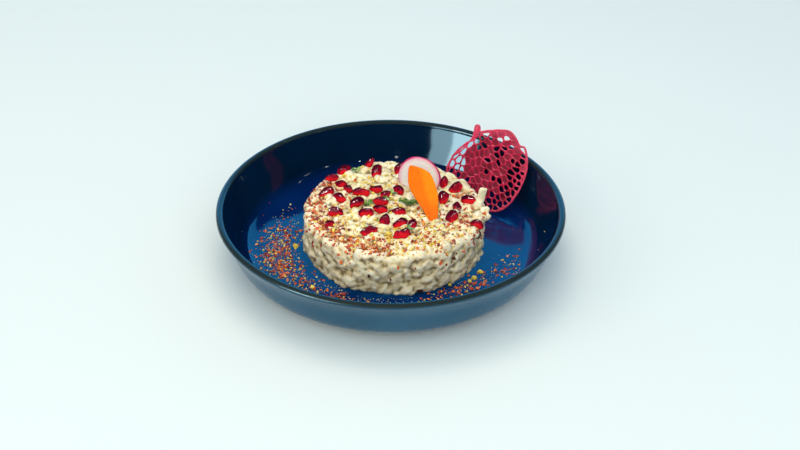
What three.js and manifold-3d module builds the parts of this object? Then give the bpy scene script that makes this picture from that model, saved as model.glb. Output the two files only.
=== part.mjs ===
// A round moulded cake of baba ganoush in a glazed bowl, with pomegranate arils, a radish slice,
// a carrot slice and a beetroot lace crisp. Millimetres, +Z up, origin under the middle of the bowl.

import * as THREE from 'three';
import { mergeVertices } from 'three/addons/utils/BufferGeometryUtils.js';
import Module from 'manifold-3d';

const wasm = await Module();
wasm.setup();

// bowl
const rimRadius = 110;
const bowlHeight = 38;
const lipRound = 2.4;
const floorHeight = 6;
const floorRadius = 82;
const footRadius = 73;
const footWidth = 8;
const footRecess = 1.6;
const bowlFacets = 56;

// dip
const dipRadius = 58;
const dipCentre = [2, 1];
const dipTop = 34.4;
const dipEdgeRound = 4;
const dipFacets = 40;
const sideLump = 0.9;
const topLump = 0.7;

// the gap that separate pieces keep
const clearance = 0.3;

// garnish
const radishRadius = 14;
const radishThickness = 1.8;
const carrotThickness = 2.2;
const laceThickness = 1.4;
const laceCell = 5.6;
const laceBar = 1.1;
const laceCurl = 0.0022;

const degrees = THREE.MathUtils.degToRad;

const colours = {
  bowl: new THREE.MeshStandardMaterial({ color: 0x0f2f66, roughness: 0.12, metalness: 0 }),
  dip: new THREE.MeshStandardMaterial({ color: 0xd8c9a8, roughness: 0.6, metalness: 0 }),
  aril: new THREE.MeshStandardMaterial({ color: 0x8c0f1c, roughness: 0.15, metalness: 0 }),
  radish: new THREE.MeshStandardMaterial({ color: 0xf3dfe4, roughness: 0.35, metalness: 0 }),
  carrot: new THREE.MeshStandardMaterial({ color: 0xf98a08, roughness: 0.4, metalness: 0 }),
  lace: new THREE.MeshStandardMaterial({ color: 0xa82848, roughness: 0.45, metalness: 0 }),
};

// ---- solids ----

function toSolid(geometry) {
  const bare = geometry.clone();
  bare.deleteAttribute('normal');
  bare.deleteAttribute('uv');
  const merged = mergeVertices(bare, 1e-4);
  const index = merged.index.array;
  const corners = [];
  for (let i = 0; i < index.length; i += 3) {
    const [a, b, c] = [index[i], index[i + 1], index[i + 2]];
    if (a !== b && b !== c && c !== a) corners.push(a, b, c);
  }
  const mesh = new wasm.Mesh({
    numProp: 3,
    vertProperties: new Float32Array(merged.attributes.position.array),
    triVerts: new Uint32Array(corners),
  });
  return new wasm.Manifold(mesh);
}

function toGeometry(solid) {
  const mesh = solid.getMesh();
  const geometry = new THREE.BufferGeometry();
  geometry.setAttribute('position', new THREE.BufferAttribute(mesh.vertProperties, 3));
  geometry.setIndex(new THREE.BufferAttribute(mesh.triVerts, 1));
  geometry.computeVertexNormals();
  return geometry;
}

function placedSolid(mesh) {
  mesh.updateMatrixWorld(true);
  return toSolid(mesh.geometry.clone().applyMatrix4(mesh.matrixWorld));
}

// an uneven wave between -1 and 1
function ripple(a, b) {
  const first = Math.sin(a + 1.3 * b);
  const second = Math.sin(1.7 * a - 2.1 * b + 1.9);
  const third = Math.sin(2.9 * a + 0.8 * b + 4.2);
  return (first + second + third) / 3;
}

// ---- bowl: a deep plate turned about Z, with a rounded lip and a shallow foot ring ----

function bowlGeometry() {
  const lipRadius = rimRadius - lipRound;
  const outside = new THREE.SplineCurve([
    new THREE.Vector2(footRadius + 0.6, 1.2),
    new THREE.Vector2(84, 3.4),
    new THREE.Vector2(93, 6.6),
    new THREE.Vector2(98.6, 11),
    new THREE.Vector2(102, 18),
    new THREE.Vector2(104.4, 26),
    new THREE.Vector2(107.8, 32.6),
    new THREE.Vector2(rimRadius, bowlHeight - lipRound),
  ]);
  const inside = new THREE.SplineCurve([
    new THREE.Vector2(rimRadius - 2 * lipRound, bowlHeight - lipRound),
    new THREE.Vector2(101.6, 27),
    new THREE.Vector2(97.8, 18),
    new THREE.Vector2(93.6, 10.4),
    new THREE.Vector2(88.4, 7),
    new THREE.Vector2(floorRadius, floorHeight),
  ]);
  const profile = [
    new THREE.Vector2(0, footRecess),
    new THREE.Vector2(footRadius - footWidth, footRecess),
    new THREE.Vector2(footRadius - footWidth + 1, 0),
    new THREE.Vector2(footRadius, 0),
    ...outside.getPoints(8),
  ];
  for (const turn of [45, 90, 135]) {
    const a = degrees(turn);
    const height = bowlHeight - lipRound + lipRound * Math.sin(a);
    profile.push(new THREE.Vector2(lipRadius + lipRound * Math.cos(a), height));
  }
  profile.push(...inside.getPoints(6), new THREE.Vector2(0, floorHeight));
  return new THREE.LatheGeometry(profile, bowlFacets).rotateX(Math.PI / 2);
}

// ---- dip: a moulded round with lumpy sides and a rough top ----

function dipTopHeight(x, y) {
  const backRise = 0.012 * (y - dipCentre[1]);
  return dipTop + backRise + topLump * ripple(x / 6, y / 7);
}

// the radius grows a little at the foot, where the cake has settled
function dipSideRadius(angle, height) {
  const foot = 1.4 * Math.exp(-(height - floorHeight) / 3) * (0.6 + 0.6 * ripple(3 * angle, 2));
  return dipRadius + foot + sideLump * ripple(9 * angle, height / 4);
}

function dipGeometry() {
  const base = floorHeight + clearance;
  const rings = [[0.01, base], [0.5, base], [0.975, base]];
  for (const height of [8, 12, 16, 20, 24, 28]) rings.push([1, height]);
  const edge = 1 - dipEdgeRound / dipRadius;
  for (const turn of [25, 55, 90]) {
    const a = degrees(turn);
    const out = edge + (1 - edge) * Math.cos(a);
    rings.push([out, dipTop - dipEdgeRound + dipEdgeRound * Math.sin(a)]);
  }
  for (const out of [0.76, 0.57, 0.38, 0.19, 0.01]) rings.push([out, dipTop]);

  const position = [];
  for (const [out, height] of rings) {
    for (let i = 0; i < dipFacets; i += 1) {
      const angle = (2 * Math.PI * i) / dipFacets;
      const radius = out * dipSideRadius(angle, height);
      const x = dipCentre[0] + radius * Math.cos(angle);
      const y = dipCentre[1] + radius * Math.sin(angle);
      const nearTop = THREE.MathUtils.smoothstep(height, 24, dipTop - 1);
      position.push(x, y, height + nearTop * (dipTopHeight(x, y) - dipTop));
    }
  }
  const corners = [];
  const last = rings.length - 1;
  for (let ring = 0; ring < last; ring += 1) {
    for (let i = 0; i < dipFacets; i += 1) {
      const a = ring * dipFacets + i;
      const b = ring * dipFacets + ((i + 1) % dipFacets);
      corners.push(a, b, b + dipFacets, a, b + dipFacets, a + dipFacets);
    }
  }
  for (let i = 1; i < dipFacets - 1; i += 1) {
    corners.push(0, i + 1, i);
    corners.push(last * dipFacets, last * dipFacets + i, last * dipFacets + i + 1);
  }
  const geometry = new THREE.BufferGeometry();
  geometry.setAttribute('position', new THREE.Float32BufferAttribute(position, 3));
  geometry.setIndex(corners);
  return geometry;
}

// a shred of roasted aubergine that stands up from the right edge of the dip
function shredMesh(grow) {
  const shred = new THREE.CylinderGeometry(1.7 + grow, 2.7 + grow, 15.4 + 2 * grow, 7, 3);
  shred.scale(1, 1, 0.6 + 0.3 * grow);
  shred.rotateX(Math.PI / 2);
  shred.rotateY(degrees(9));
  shred.translate(56.6, 0.8, 40.4);
  return new THREE.Mesh(shred, colours.dip);
}

// ---- garnish ----

// a thin slice stands in the dip, turned about Z by yaw and leaning back by lean
function stand(mesh, place, yaw, lean) {
  mesh.position.set(...place);
  mesh.rotation.set(degrees(90 - lean), 0, degrees(yaw), 'ZYX');
}

function radishMesh(grow) {
  const slice = new THREE.CylinderGeometry(
    radishRadius + grow,
    radishRadius + grow,
    radishThickness + 2 * grow,
    44,
  );
  slice.rotateX(Math.PI / 2);
  const mesh = new THREE.Mesh(slice, colours.radish);
  stand(mesh, [18.2, 24, 41.8], -14, 8);
  return mesh;
}

// a bias-cut slice: broad and square at the top, bowed on the right, narrow at the buried foot
function carrotMesh(grow) {
  const outline = new THREE.SplineCurve([
    new THREE.Vector2(2.6 + grow, -6 - grow),
    new THREE.Vector2(2.2 + grow, 3),
    new THREE.Vector2(1.6 + grow, 13),
    new THREE.Vector2(-0.6 + grow, 21 + grow),
    new THREE.Vector2(-4.4 + grow, 28 + grow),
    new THREE.Vector2(-8.6, 31 + grow),
    new THREE.Vector2(-16.4 - grow, 32 + grow),
    new THREE.Vector2(-18.2 - grow, 26),
    new THREE.Vector2(-17 - grow, 18.5),
    new THREE.Vector2(-11 - grow, 9.6),
    new THREE.Vector2(-5 - grow, 1),
    new THREE.Vector2(-1.8 - grow, -6 - grow),
  ]);
  const thickness = carrotThickness + 2 * grow;
  const slice = new THREE.ExtrudeGeometry(new THREE.Shape(outline.getPoints(26)), {
    depth: thickness,
    bevelEnabled: false,
  });
  slice.translate(0, 0, -thickness / 2);
  const mesh = new THREE.Mesh(slice, colours.carrot);
  stand(mesh, [27, -13.5, 34.5], -6, 42);
  return mesh;
}

// ---- beetroot lace: a curled round crisp with an open net of cells along its border ----

const laceOutline = new THREE.SplineCurve([
  new THREE.Vector2(-13.4, 24.2),
  new THREE.Vector2(-7, 25.8),
  new THREE.Vector2(2, 28.4),
  new THREE.Vector2(8, 28.6),
  new THREE.Vector2(13.4, 24.8),
  new THREE.Vector2(17.4, 20.6),
  new THREE.Vector2(21.4, 20),
  new THREE.Vector2(25.6, 13),
  new THREE.Vector2(28, 4),
  new THREE.Vector2(27.4, -7),
  new THREE.Vector2(24.6, -17),
  new THREE.Vector2(19, -25),
  new THREE.Vector2(10, -28.2),
  new THREE.Vector2(-2, -28.4),
  new THREE.Vector2(-14, -25.4),
  new THREE.Vector2(-24, -18),
  new THREE.Vector2(-28, -9),
  new THREE.Vector2(-27, 1),
  new THREE.Vector2(-23, 9.4),
  new THREE.Vector2(-18.6, 16),
  new THREE.Vector2(-18.8, 25.4),
  new THREE.Vector2(-15.2, 26.2),
]);

// the part of a polygon that is nearer to one seed than to another
function clipToSeed(polygon, seed, other) {
  const middle = seed.clone().add(other).multiplyScalar(0.5);
  const away = other.clone().sub(seed);
  const kept = [];
  polygon.forEach((corner, i) => {
    const next = polygon[(i + 1) % polygon.length];
    const here = corner.clone().sub(middle).dot(away);
    const there = next.clone().sub(middle).dot(away);
    if (here <= 0) kept.push(corner);
    if (here * there < 0) kept.push(corner.clone().lerp(next, here / (here - there)));
  });
  return kept;
}

// cells of an uneven net, each drawn in from its neighbours by the width of a bar
function laceHoles(outline) {
  const seeds = [];
  for (let row = -6; row <= 6; row += 1) {
    for (let column = -6; column <= 6; column += 1) {
      const x = (column + 0.5 * (row % 2) + 0.34 * ripple(2 * row, 5 * column)) * laceCell;
      const y = (row * 0.86 + 0.3 * ripple(4 * column, 3 * row)) * laceCell;
      seeds.push(new THREE.Vector2(x, y));
    }
  }
  const holes = [];
  for (const seed of seeds) {
    const far = Math.max(...seeds.map((other) => other.distanceTo(seed)));
    let cell = [[-1, -1], [1, -1], [1, 1], [-1, 1]].map(
      ([x, y]) => new THREE.Vector2(seed.x + x * far, seed.y + y * far),
    );
    const neighbours = seeds.filter((other) => other !== seed && other.distanceTo(seed) < 3 * laceCell);
    for (const other of neighbours) cell = clipToSeed(cell, seed, other);
    const drawnIn = cell.map((corner) => {
      const inward = seed.clone().sub(corner);
      return corner.clone().add(inward.setLength(Math.min(laceBar * 0.75, inward.length() * 0.5)));
    });
    const hole = drawnIn.filter((corner, i) => {
      return corner.distanceTo(drawnIn[(i + 1) % drawnIn.length]) > laceBar * 0.5;
    });
    const inside = hole.every((corner) => roomInside(outline, corner) > laceBar);
    const open = seed.length() > 13 && !(seed.y > 8 && seed.x > -8 && seed.length() < 22);
    if (inside && open && hole.length > 2) holes.push(hole);
  }
  return holes;
}

// distance from a point in the outline to the outline, and -1 outside it
function roomInside(outline, point) {
  let nearest = Infinity;
  let crossings = 0;
  outline.forEach((a, i) => {
    const b = outline[(i + 1) % outline.length];
    const along = b.clone().sub(a);
    const t = THREE.MathUtils.clamp(point.clone().sub(a).dot(along) / along.lengthSq(), 0, 1);
    nearest = Math.min(nearest, a.clone().addScaledVector(along, t).distanceTo(point));
    const spans = a.y > point.y !== b.y > point.y;
    if (spans && point.x < a.x + (along.x * (point.y - a.y)) / along.y) crossings += 1;
  });
  return crossings % 2 === 1 ? nearest : -1;
}

function laceMesh() {
  const outline = laceOutline.getPoints(66);
  const shape = new THREE.Shape(outline);
  shape.holes = laceHoles(outline).map((hole) => new THREE.Path(hole));
  const plate = new THREE.ExtrudeGeometry(shape, { depth: laceThickness, bevelEnabled: false });
  const position = plate.attributes.position;
  for (let i = 0; i < position.count; i += 1) {
    const curl = laceCurl * position.getX(i) ** 2;
    position.setZ(i, position.getZ(i) + curl);
  }
  const mesh = new THREE.Mesh(plate, colours.lace);
  stand(mesh, [65.4, 57.4, 28.9], -30, 38);
  return mesh;
}

// ---- pomegranate arils: six-sided juicy grains, blunt at one end and drawn in at the other ----

// x, y, yaw, tilt and length; each lies pressed into the top of the dip
const arilPlaces = [
  [-31, 42, 35, 10, 10],
  [-38.6, 32, 20, 0, 8.6],
  [-32.6, 25.4, -35, 10, 8.4],
  [-27.6, 19.2, -30, 5, 8],
  [-42, 14, 25, 12, 10.6],
  [-32.6, 6.4, -35, 8, 10.4],
  [-19.2, 15.2, 0, 0, 10.4],
  [-22, 1.6, 40, 8, 10.6],
  [-35, -8.5, 5, 0, 11],
  [-16, -9.8, -15, 5, 9.8],
  [-9.6, 18.6, 10, 0, 8.6],
  [-2.4, 12.4, -5, 0, 8.6],
  [4.4, 18.2, -45, 15, 9],
  [-6.4, 4.2, 0, 5, 9.8],
  [-7, -4.6, -10, 0, 9.4],
  [3.6, -8.6, 15, 5, 10.8],
  [-3.6, -18.2, 80, 15, 10.4],
  [5.6, -20, 35, 10, 10],
  [13.4, -21.4, 75, 5, 8.4],
  [-14, -30.5, 5, 8, 10.8],
  [6.4, -33.6, 20, 5, 11.2],
  [-14.6, 50, 30, 40, 8.8],
  [-9.4, 41, 75, 10, 10.6],
  [5, 44, 60, 25, 9.6],
  [34.6, 28.4, 70, 20, 8.6],
  [42, 20, 30, 25, 10.4],
  [33.4, 8.4, 75, 15, 11],
  [50, 5.6, -25, 5, 10.6],
  [38.2, -13, 60, 12, 11.4],
  [41.6, -1.6, 70, 5, 8],
  [-38, -22, 70, -10, 8.4],
  [53.4, -20.4, -20, -12, 8.6],
];

function arilMesh(place, order, grow) {
  const [x, y, yaw, tilt, length] = place;
  const width = 0.78 * length * (1 + 0.07 * ripple(order, 2));
  const thickness = 0.72 * length * (1 + 0.06 * ripple(3, order));
  const grain = new THREE.SphereGeometry(1, 6, 5);
  grain.rotateZ(Math.PI / 2);
  const position = grain.attributes.position;
  for (let i = 0; i < position.count; i += 1) {
    const along = position.getX(i);
    const taper = 1 - 0.2 * (along + 1) * 0.5;
    position.setY(i, position.getY(i) * taper);
    position.setZ(i, position.getZ(i) * taper);
  }
  grain.scale(length / 2 + grow, width / 2 + grow, thickness / 2 + grow);
  const mesh = new THREE.Mesh(grain, colours.aril);
  const lift = 0.24 * thickness;
  mesh.position.set(x, y, dipTopHeight(x, y) + lift);
  mesh.rotation.set(degrees(50 * order), degrees(-tilt), degrees(yaw), 'ZYX');
  return mesh;
}

// ---- the whole ----

function build() {
  const whole = new THREE.Group();
  const add = (mesh, name) => {
    mesh.name = name;
    whole.add(mesh);
  };
  add(new THREE.Mesh(bowlGeometry(), colours.bowl), 'bowl');

  let dip = toSolid(dipGeometry());
  const garnish = [shredMesh(clearance), radishMesh(clearance), carrotMesh(clearance + 0.06)];
  arilPlaces.forEach((place, order) => garnish.push(arilMesh(place, order, clearance + 0.12)));
  for (const mesh of garnish) dip = dip.subtract(placedSolid(mesh));
  add(new THREE.Mesh(toGeometry(dip), colours.dip), 'dip');

  add(shredMesh(0), 'aubergine_shred');
  add(radishMesh(0), 'radish_slice');
  add(carrotMesh(0), 'carrot_slice');
  add(laceMesh(), 'beet_lace');
  arilPlaces.forEach((place, order) => {
    add(arilMesh(place, order, 0), `aril_${String(order + 1).padStart(2, '0')}`);
  });
  return whole;
}

export default build();
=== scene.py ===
import math
import random

import bpy
import numpy as np
from mathutils import Matrix, Quaternion, Vector, noise
from mathutils.bvhtree import BVHTree
from mathutils.kdtree import KDTree


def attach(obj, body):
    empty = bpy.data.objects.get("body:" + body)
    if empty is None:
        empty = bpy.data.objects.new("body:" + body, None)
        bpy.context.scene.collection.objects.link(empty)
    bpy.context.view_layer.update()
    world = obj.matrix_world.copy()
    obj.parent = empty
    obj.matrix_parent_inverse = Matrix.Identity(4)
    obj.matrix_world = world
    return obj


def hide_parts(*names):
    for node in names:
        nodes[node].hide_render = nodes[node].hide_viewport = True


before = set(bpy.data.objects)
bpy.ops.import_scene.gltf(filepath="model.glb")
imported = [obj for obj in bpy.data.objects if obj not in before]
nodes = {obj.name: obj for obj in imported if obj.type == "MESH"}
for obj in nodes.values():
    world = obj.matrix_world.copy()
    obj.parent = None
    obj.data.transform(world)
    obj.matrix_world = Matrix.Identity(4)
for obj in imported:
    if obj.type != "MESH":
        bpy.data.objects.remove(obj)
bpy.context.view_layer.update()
mm = 0.001
noise.seed_set(7)  # noise_vector would otherwise differ from run to run
print("frame loaded,", len(nodes), "solids")


# small helpers

def deselectAll():
    if bpy.context.object and bpy.context.object.mode != "OBJECT":
        bpy.ops.object.mode_set(mode="OBJECT")
    bpy.ops.object.select_all(action="DESELECT")


def pick(*pieces):
    deselectAll()
    for piece in pieces:
        piece.select_set(True)
    bpy.context.view_layer.objects.active = pieces[0]


def editAll(piece):  # edit mode with the whole mesh selected
    pick(piece)
    bpy.ops.object.mode_set(mode="EDIT")
    bpy.ops.mesh.select_all(action="SELECT")


def editNone(piece):  # edit mode with nothing selected
    editAll(piece)
    bpy.ops.mesh.select_all(action="DESELECT")


def leaveEdit():
    bpy.ops.object.mode_set(mode="OBJECT")


def useModifier(piece, kind, **settings):
    pick(piece)
    modifier = piece.modifiers.new(kind.title(), kind)
    for key, value in settings.items():
        setattr(modifier, key, value)
    bpy.ops.object.modifier_apply(modifier=modifier.name)


def remesh(piece, voxel):
    useModifier(piece, "REMESH", mode="VOXEL", voxel_size=voxel * mm)


def applyPlace(piece):
    pick(piece)
    bpy.ops.object.transform_apply(location=True, rotation=True, scale=True)


def readPoints(piece, kind="co"):
    values = np.zeros(len(piece.data.vertices) * 3)
    piece.data.vertices.foreach_get(kind, values)
    return values.reshape(-1, 3)


def writePoints(piece, points):
    piece.data.vertices.foreach_set("co", np.ascontiguousarray(points, dtype=np.float32).ravel())
    piece.data.update()


def readNormals(piece):
    return readPoints(piece, "normal")


def saveAttribute(piece, name, values):
    attribute = piece.data.attributes.new(name, "FLOAT", "POINT")
    attribute.data.foreach_set("value", np.asarray(values, dtype=np.float32))


def addObject(name, data):
    piece = bpy.data.objects.new(name, data)
    bpy.context.scene.collection.objects.link(piece)
    return piece


def meshPiece(name, points, faces):
    mesh = bpy.data.meshes.new(name)
    mesh.from_pydata(points, [], faces)
    return addObject(name, mesh)


def takeShape(piece):  # the points and faces of a small shape that is copied many times
    shape = readPoints(piece), [tuple(face.vertices) for face in piece.data.polygons]
    bpy.data.objects.remove(piece)
    return shape


def smoothShade(piece):
    pick(piece)
    bpy.ops.object.shade_smooth()


def normalsOut():  # in edit mode
    bpy.ops.mesh.select_all(action="SELECT")
    bpy.ops.mesh.normals_make_consistent(inside=False)


def copySolid(nodeName, pieceName):  # a merged copy of a CAD node, with a mesh of its own
    piece = addObject(pieceName, nodes[nodeName].data.copy())
    piece.data.materials.clear()
    editAll(piece)
    bpy.ops.mesh.remove_doubles(threshold=0.00002)
    leaveEdit()
    return piece


def finishPiece(piece, name, slotName, material, *replaced):
    piece.name = name
    piece.data.name = name
    piece.data.materials.clear()
    piece.data.materials.append(material)
    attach(piece, "root")
    if replaced:
        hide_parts(*replaced)
    print("made", name, len(piece.data.polygons), "faces")


def smoothStep(value, low, high):
    t = np.clip((value - low) / (high - low), 0, 1)
    return t * t * (3 - 2 * t)


def polar(points):  # distance from the upright axis, and turn round it
    return np.hypot(points[:, 0], points[:, 1]), np.arctan2(points[:, 1], points[:, 0])


def heading(turn, rise=0):  # the way that a turn and a rise in degrees point
    a, b = math.radians(turn), math.radians(rise)
    return Vector((math.cos(a) * math.cos(b), math.sin(a) * math.cos(b), math.sin(b)))


def noiseAt(*columns):  # smooth noise at many places, given as columns of x, y and z
    return np.array([noise.noise(Vector(spot)) for spot in np.broadcast(*columns)])


def curveThrough(corners, steps):  # a smooth flat line through the corners
    points = [Vector((x, y, 0)) for x, y in corners]
    line = []
    last = len(points) - 1
    for i in range(last):
        a, b = points[max(i - 1, 0)], points[i]
        c, d = points[i + 1], points[min(i + 2, last)]
        v0 = (c - a) * 0.5
        v1 = (d - b) * 0.5
        for k in range(steps):
            t = k / steps
            line.append((2 * (b - c) + v0 + v1) * t**3 + (3 * (c - b) - 2 * v0 - v1) * t**2 + v0 * t + b)
    return line + [points[last]]


# material helpers

def startGroup(name, output, **numbers):  # the first number is a size, so the texture's scale is one over it
    group = bpy.data.node_groups.new(name, "ShaderNodeTree")
    group.interface.new_socket("Place", in_out="INPUT", socket_type="NodeSocketVector")
    for number, value in numbers.items():
        socket = group.interface.new_socket(number, in_out="INPUT", socket_type="NodeSocketFloat")
        socket.default_value = value
    group.interface.new_socket(output, in_out="OUTPUT", socket_type="NodeSocketFloat")
    source = group.nodes.new("NodeGroupInput").outputs
    result = group.nodes.new("NodeGroupOutput").inputs[output]
    perMetre = group.nodes.new("ShaderNodeMath")
    perMetre.operation = "DIVIDE"
    perMetre.inputs[0].default_value = 1
    group.links.new(source[1], perMetre.inputs[1])
    return group, source, result, perMetre.outputs[0]


def makeGrainGroup():  # soft cloudy grain of a given size, the same for every material
    group, source, result, scale = startGroup("cloudyGrain", "Grain", Size=0.01, Detail=3.0, Roughness=0.55)
    texture = group.nodes.new("ShaderNodeTexNoise")
    group.links.new(scale, texture.inputs["Scale"])
    group.links.new(source["Place"], texture.inputs["Vector"])
    for name in ("Detail", "Roughness"):
        group.links.new(source[name], texture.inputs[name])
    group.links.new(texture.outputs["Fac"], result)
    return group


def makeSpeckGroup():  # small round specks a given distance apart
    group, source, result, scale = startGroup("roundSpecks", "Mask", Spacing=0.004, Reach=0.1, Strength=0.8)
    cells = group.nodes.new("ShaderNodeTexVoronoi")
    core = group.nodes.new("ShaderNodeMath")  # the part of a speck that is evenly dark
    core.operation = "MULTIPLY"
    core.inputs[1].default_value = 0.6
    spread = group.nodes.new("ShaderNodeMapRange")
    spread.inputs["To Max"].default_value = 0
    for output, socket in (
        (scale, cells.inputs["Scale"]), (source["Place"], cells.inputs["Vector"]),
        (cells.outputs["Distance"], spread.inputs["Value"]), (source["Reach"], core.inputs[0]),
        (core.outputs[0], spread.inputs["From Min"]), (source["Reach"], spread.inputs["From Max"]),
        (source["Strength"], spread.inputs["To Min"]), (spread.outputs["Result"], result),
    ):
        group.links.new(output, socket)
    return group


grainGroup = makeGrainGroup()
speckGroup = makeSpeckGroup()


class MaterialMaker:  # builds one node material, left to right
    def __init__(self, name):
        self.material = bpy.data.materials.new(name)
        self.material.use_nodes = True
        self.tree = self.material.node_tree
        self.shader = self.tree.nodes["Principled BSDF"]
        self.coordinates = None

    def node(self, kind, **settings):
        made = self.tree.nodes.new(kind)
        for key, value in settings.items():
            setattr(made, key, value)
        return made

    def feed(self, socket, value):  # with a link, a colour or a number
        if isinstance(value, bpy.types.NodeSocket):
            self.tree.links.new(value, socket)
        else:
            socket.default_value = (*value, 1) if hasattr(value, "__len__") else value

    def translucent(self, weight, scale, radius=(1.0, 0.2, 0.1)):
        for name, value in (("Weight", weight), ("Scale", scale), ("Radius", radius)):
            self.shader.inputs["Subsurface " + name].default_value = value

    def place(self, stretch=None):
        if self.coordinates is None:
            self.coordinates = self.node("ShaderNodeTexCoord").outputs["Object"]
        if stretch is None:
            return self.coordinates
        mapping = self.node("ShaderNodeMapping")
        mapping.inputs["Scale"].default_value = stretch
        self.feed(mapping.inputs["Vector"], self.coordinates)
        return mapping.outputs["Vector"]

    def effect(self, group, stretch, **values):
        made = self.node("ShaderNodeGroup", node_tree=group)
        for name, value in values.items():
            made.inputs[name].default_value = value
        self.feed(made.inputs["Place"], self.place(stretch))
        return made.outputs[0]

    def grain(self, size, detail=3.0, roughness=0.55, stretch=None):
        return self.effect(grainGroup, stretch, Size=size, Detail=detail, Roughness=roughness)

    def specks(self, spacing, reach, strength):
        return self.effect(speckGroup, None, Spacing=spacing, Reach=reach, Strength=strength)

    def attribute(self, name):
        return self.node("ShaderNodeAttribute", attribute_name=name).outputs["Fac"]

    def ramp(self, value, *stops):  # stops are (place, colour or number)
        made = self.node("ShaderNodeValToRGB")
        elements = made.color_ramp.elements
        while len(elements) < len(stops):
            elements.new(0.5)
        for element, (where, colour) in zip(elements, stops):
            element.position = where
            element.color = (*colour, 1) if hasattr(colour, "__len__") else (colour, colour, colour, 1)
        self.feed(made.inputs["Fac"], value)
        return made.outputs["Color"]

    def mix(self, share, a, b):
        made = self.node("ShaderNodeMix", data_type="RGBA")
        for socket, value in ((0, share), (6, a), (7, b)):
            self.feed(made.inputs[socket], value)
        return made.outputs[2]

    def layered(self, colour, *layers):  # each layer is a share and a colour, over the ones before
        for share, tint in layers:
            colour = self.mix(share, colour, tint)
        return colour

    def math(self, operation, a, b):
        made = self.node("ShaderNodeMath", operation=operation)
        self.feed(made.inputs[0], a)
        self.feed(made.inputs[1], b)
        return made.outputs[0]

    def bump(self, height, depth, strength):
        made = self.node("ShaderNodeBump")
        made.inputs["Strength"].default_value = strength
        made.inputs["Distance"].default_value = depth
        self.feed(made.inputs["Height"], height)
        return made.outputs["Normal"]

    def complete(self, color, roughness, normal=None, specular=None, ior=None, coat=None, coatRoughness=None):
        for name, value in (
            ("Base Color", color), ("Roughness", roughness), ("Normal", normal), ("IOR", ior),
            ("Specular IOR Level", specular), ("Coat Weight", coat), ("Coat Roughness", coatRoughness),
        ):
            if value is not None:
                self.feed(self.shader.inputs[name], value)
        return self.material


# the bowl: a deep blue glazed coupe, drawn as rings of (radius, height)

bowl = {
    "facets": 160,
    "under": [(0.6, 1.6), (20, 1.6), (45, 1.6)],
    "foot": [(64, 1.6), (65.2, 1.5), (66, 0.4), (66.8, 0), (72.2, 0), (73, 0.5), (73.5, 1.2)],
    "outside": [
        (73.6, 1.3), (84, 3.4), (93, 6.6), (98.6, 11), (102, 18), (104.4, 26), (107.8, 32.6), (110, 35.6),
    ],
    "lip": (107.6, 35.6, 2.4),
    "inside": [(105.2, 35.6), (101.6, 27), (97.8, 18), (93.6, 10.4), (88.4, 7), (82, 6)],
    "floor": [(74, 5.9), (60, 5.9), (40, 5.9), (20, 5.9), (0.6, 5.9)],
}


def bowlRings():  # each ring's radius, height and how far it belongs to the outside
    rings = [(r, z, 1) for r, z in bowl["under"] + bowl["foot"]]
    rings += [(p.x, p.y, 1) for p in curveThrough(bowl["outside"], 4)[1:]]
    r, z, lip = bowl["lip"]
    for turn in (22, 45, 67, 90, 112, 135, 158):
        a = math.radians(turn)
        rings.append((r + lip * math.cos(a), z + lip * math.sin(a), 1 - turn / 180))
    rings += [(p.x, p.y, 0) for p in curveThrough(bowl["inside"], 5)]
    return rings + [(r, z, 0) for r, z in bowl["floor"]]


def makeBowl():
    rings = bowlRings()
    deselectAll()
    r, z = rings[0][:2]
    bpy.ops.mesh.primitive_circle_add(vertices=bowl["facets"], radius=r * mm, location=(0, 0, z * mm))
    piece = bpy.context.object
    applyPlace(piece)
    editAll(piece)
    for (r0, z0, _), (r1, z1, _) in zip(rings, rings[1:]):  # each ring is drawn out of the last one
        bpy.ops.mesh.extrude_region_move(TRANSFORM_OT_translate={"value": (0, 0, (z1 - z0) * mm)})
        bpy.ops.transform.resize(value=(r1 / r0, r1 / r0, 1), center_override=(0, 0, 0))
    bpy.ops.mesh.select_all(action="SELECT")
    bpy.ops.mesh.fill_holes(sides=0)
    normalsOut()
    leaveEdit()
    saveAttribute(piece, "outside", np.repeat([ring[2] for ring in rings], bowl["facets"]))
    bpy.ops.object.shade_smooth_by_angle(angle=math.radians(50))
    return piece


def glazeLook():
    f = MaterialMaker("cobaltGlaze")
    outside = f.attribute("outside")
    patch = f.grain(0.06, 4)
    height = f.node("ShaderNodeSeparateXYZ")
    f.feed(height.inputs[0], f.place())
    # the upper walls are painted a darker navy than the floor: painted shade on the walls, which face
    # sideways and take less light than the floor
    wall = f.ramp(f.math("MULTIPLY", height.outputs["Z"], 50), (0.32, 0.0), (0.75, 1.0))
    base = f.ramp(patch, (0.35, (0.0006, 0.012, 0.085)), (0.65, (0.0010, 0.018, 0.115)))
    upper = f.ramp(patch, (0.35, (0.0005, 0.008, 0.026)), (0.65, (0.0006, 0.012, 0.040)))
    inner = f.mix(wall, base, upper)
    outer = f.ramp(patch, (0.3, (0.008, 0.066, 0.125)), (0.7, (0.015, 0.090, 0.165)))
    # the lip is a dark grey teal where the glaze runs thin at the edge, painted lighter than that as a
    # painted highlight along the rim
    lip = f.ramp(outside, (0.0, 0.0), (0.25, 1.0), (0.8, 1.0), (1.0, 0.0))
    colour = f.mix(f.ramp(outside, (0.45, 0.0), (0.98, 1.0)), inner, outer)
    colour = f.mix(lip, colour, (0.016, 0.026, 0.028))
    ripples = f.grain(0.035, 2)
    rough = f.ramp(outside, (0.0, 0.085), (0.35, 0.30), (0.65, 0.30), (1.0, 0.16))
    return f.complete(colour, rough, f.bump(ripples, 0.0006, 0.35), specular=0.33, ior=1.5)


finishPiece(makeBowl(), "glazed_bowl", "glaze", glazeLook(), "bowl")


# pomegranate arils: angular, juicy grains

aril = {
    "facets": 11, "reach": (0.66, 0.86), "taper": 0.20, "grow": (1.22, 1.26, 1.20), "sink": 0.5, "room": 0.26,
}
garnishPieces = []


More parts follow.
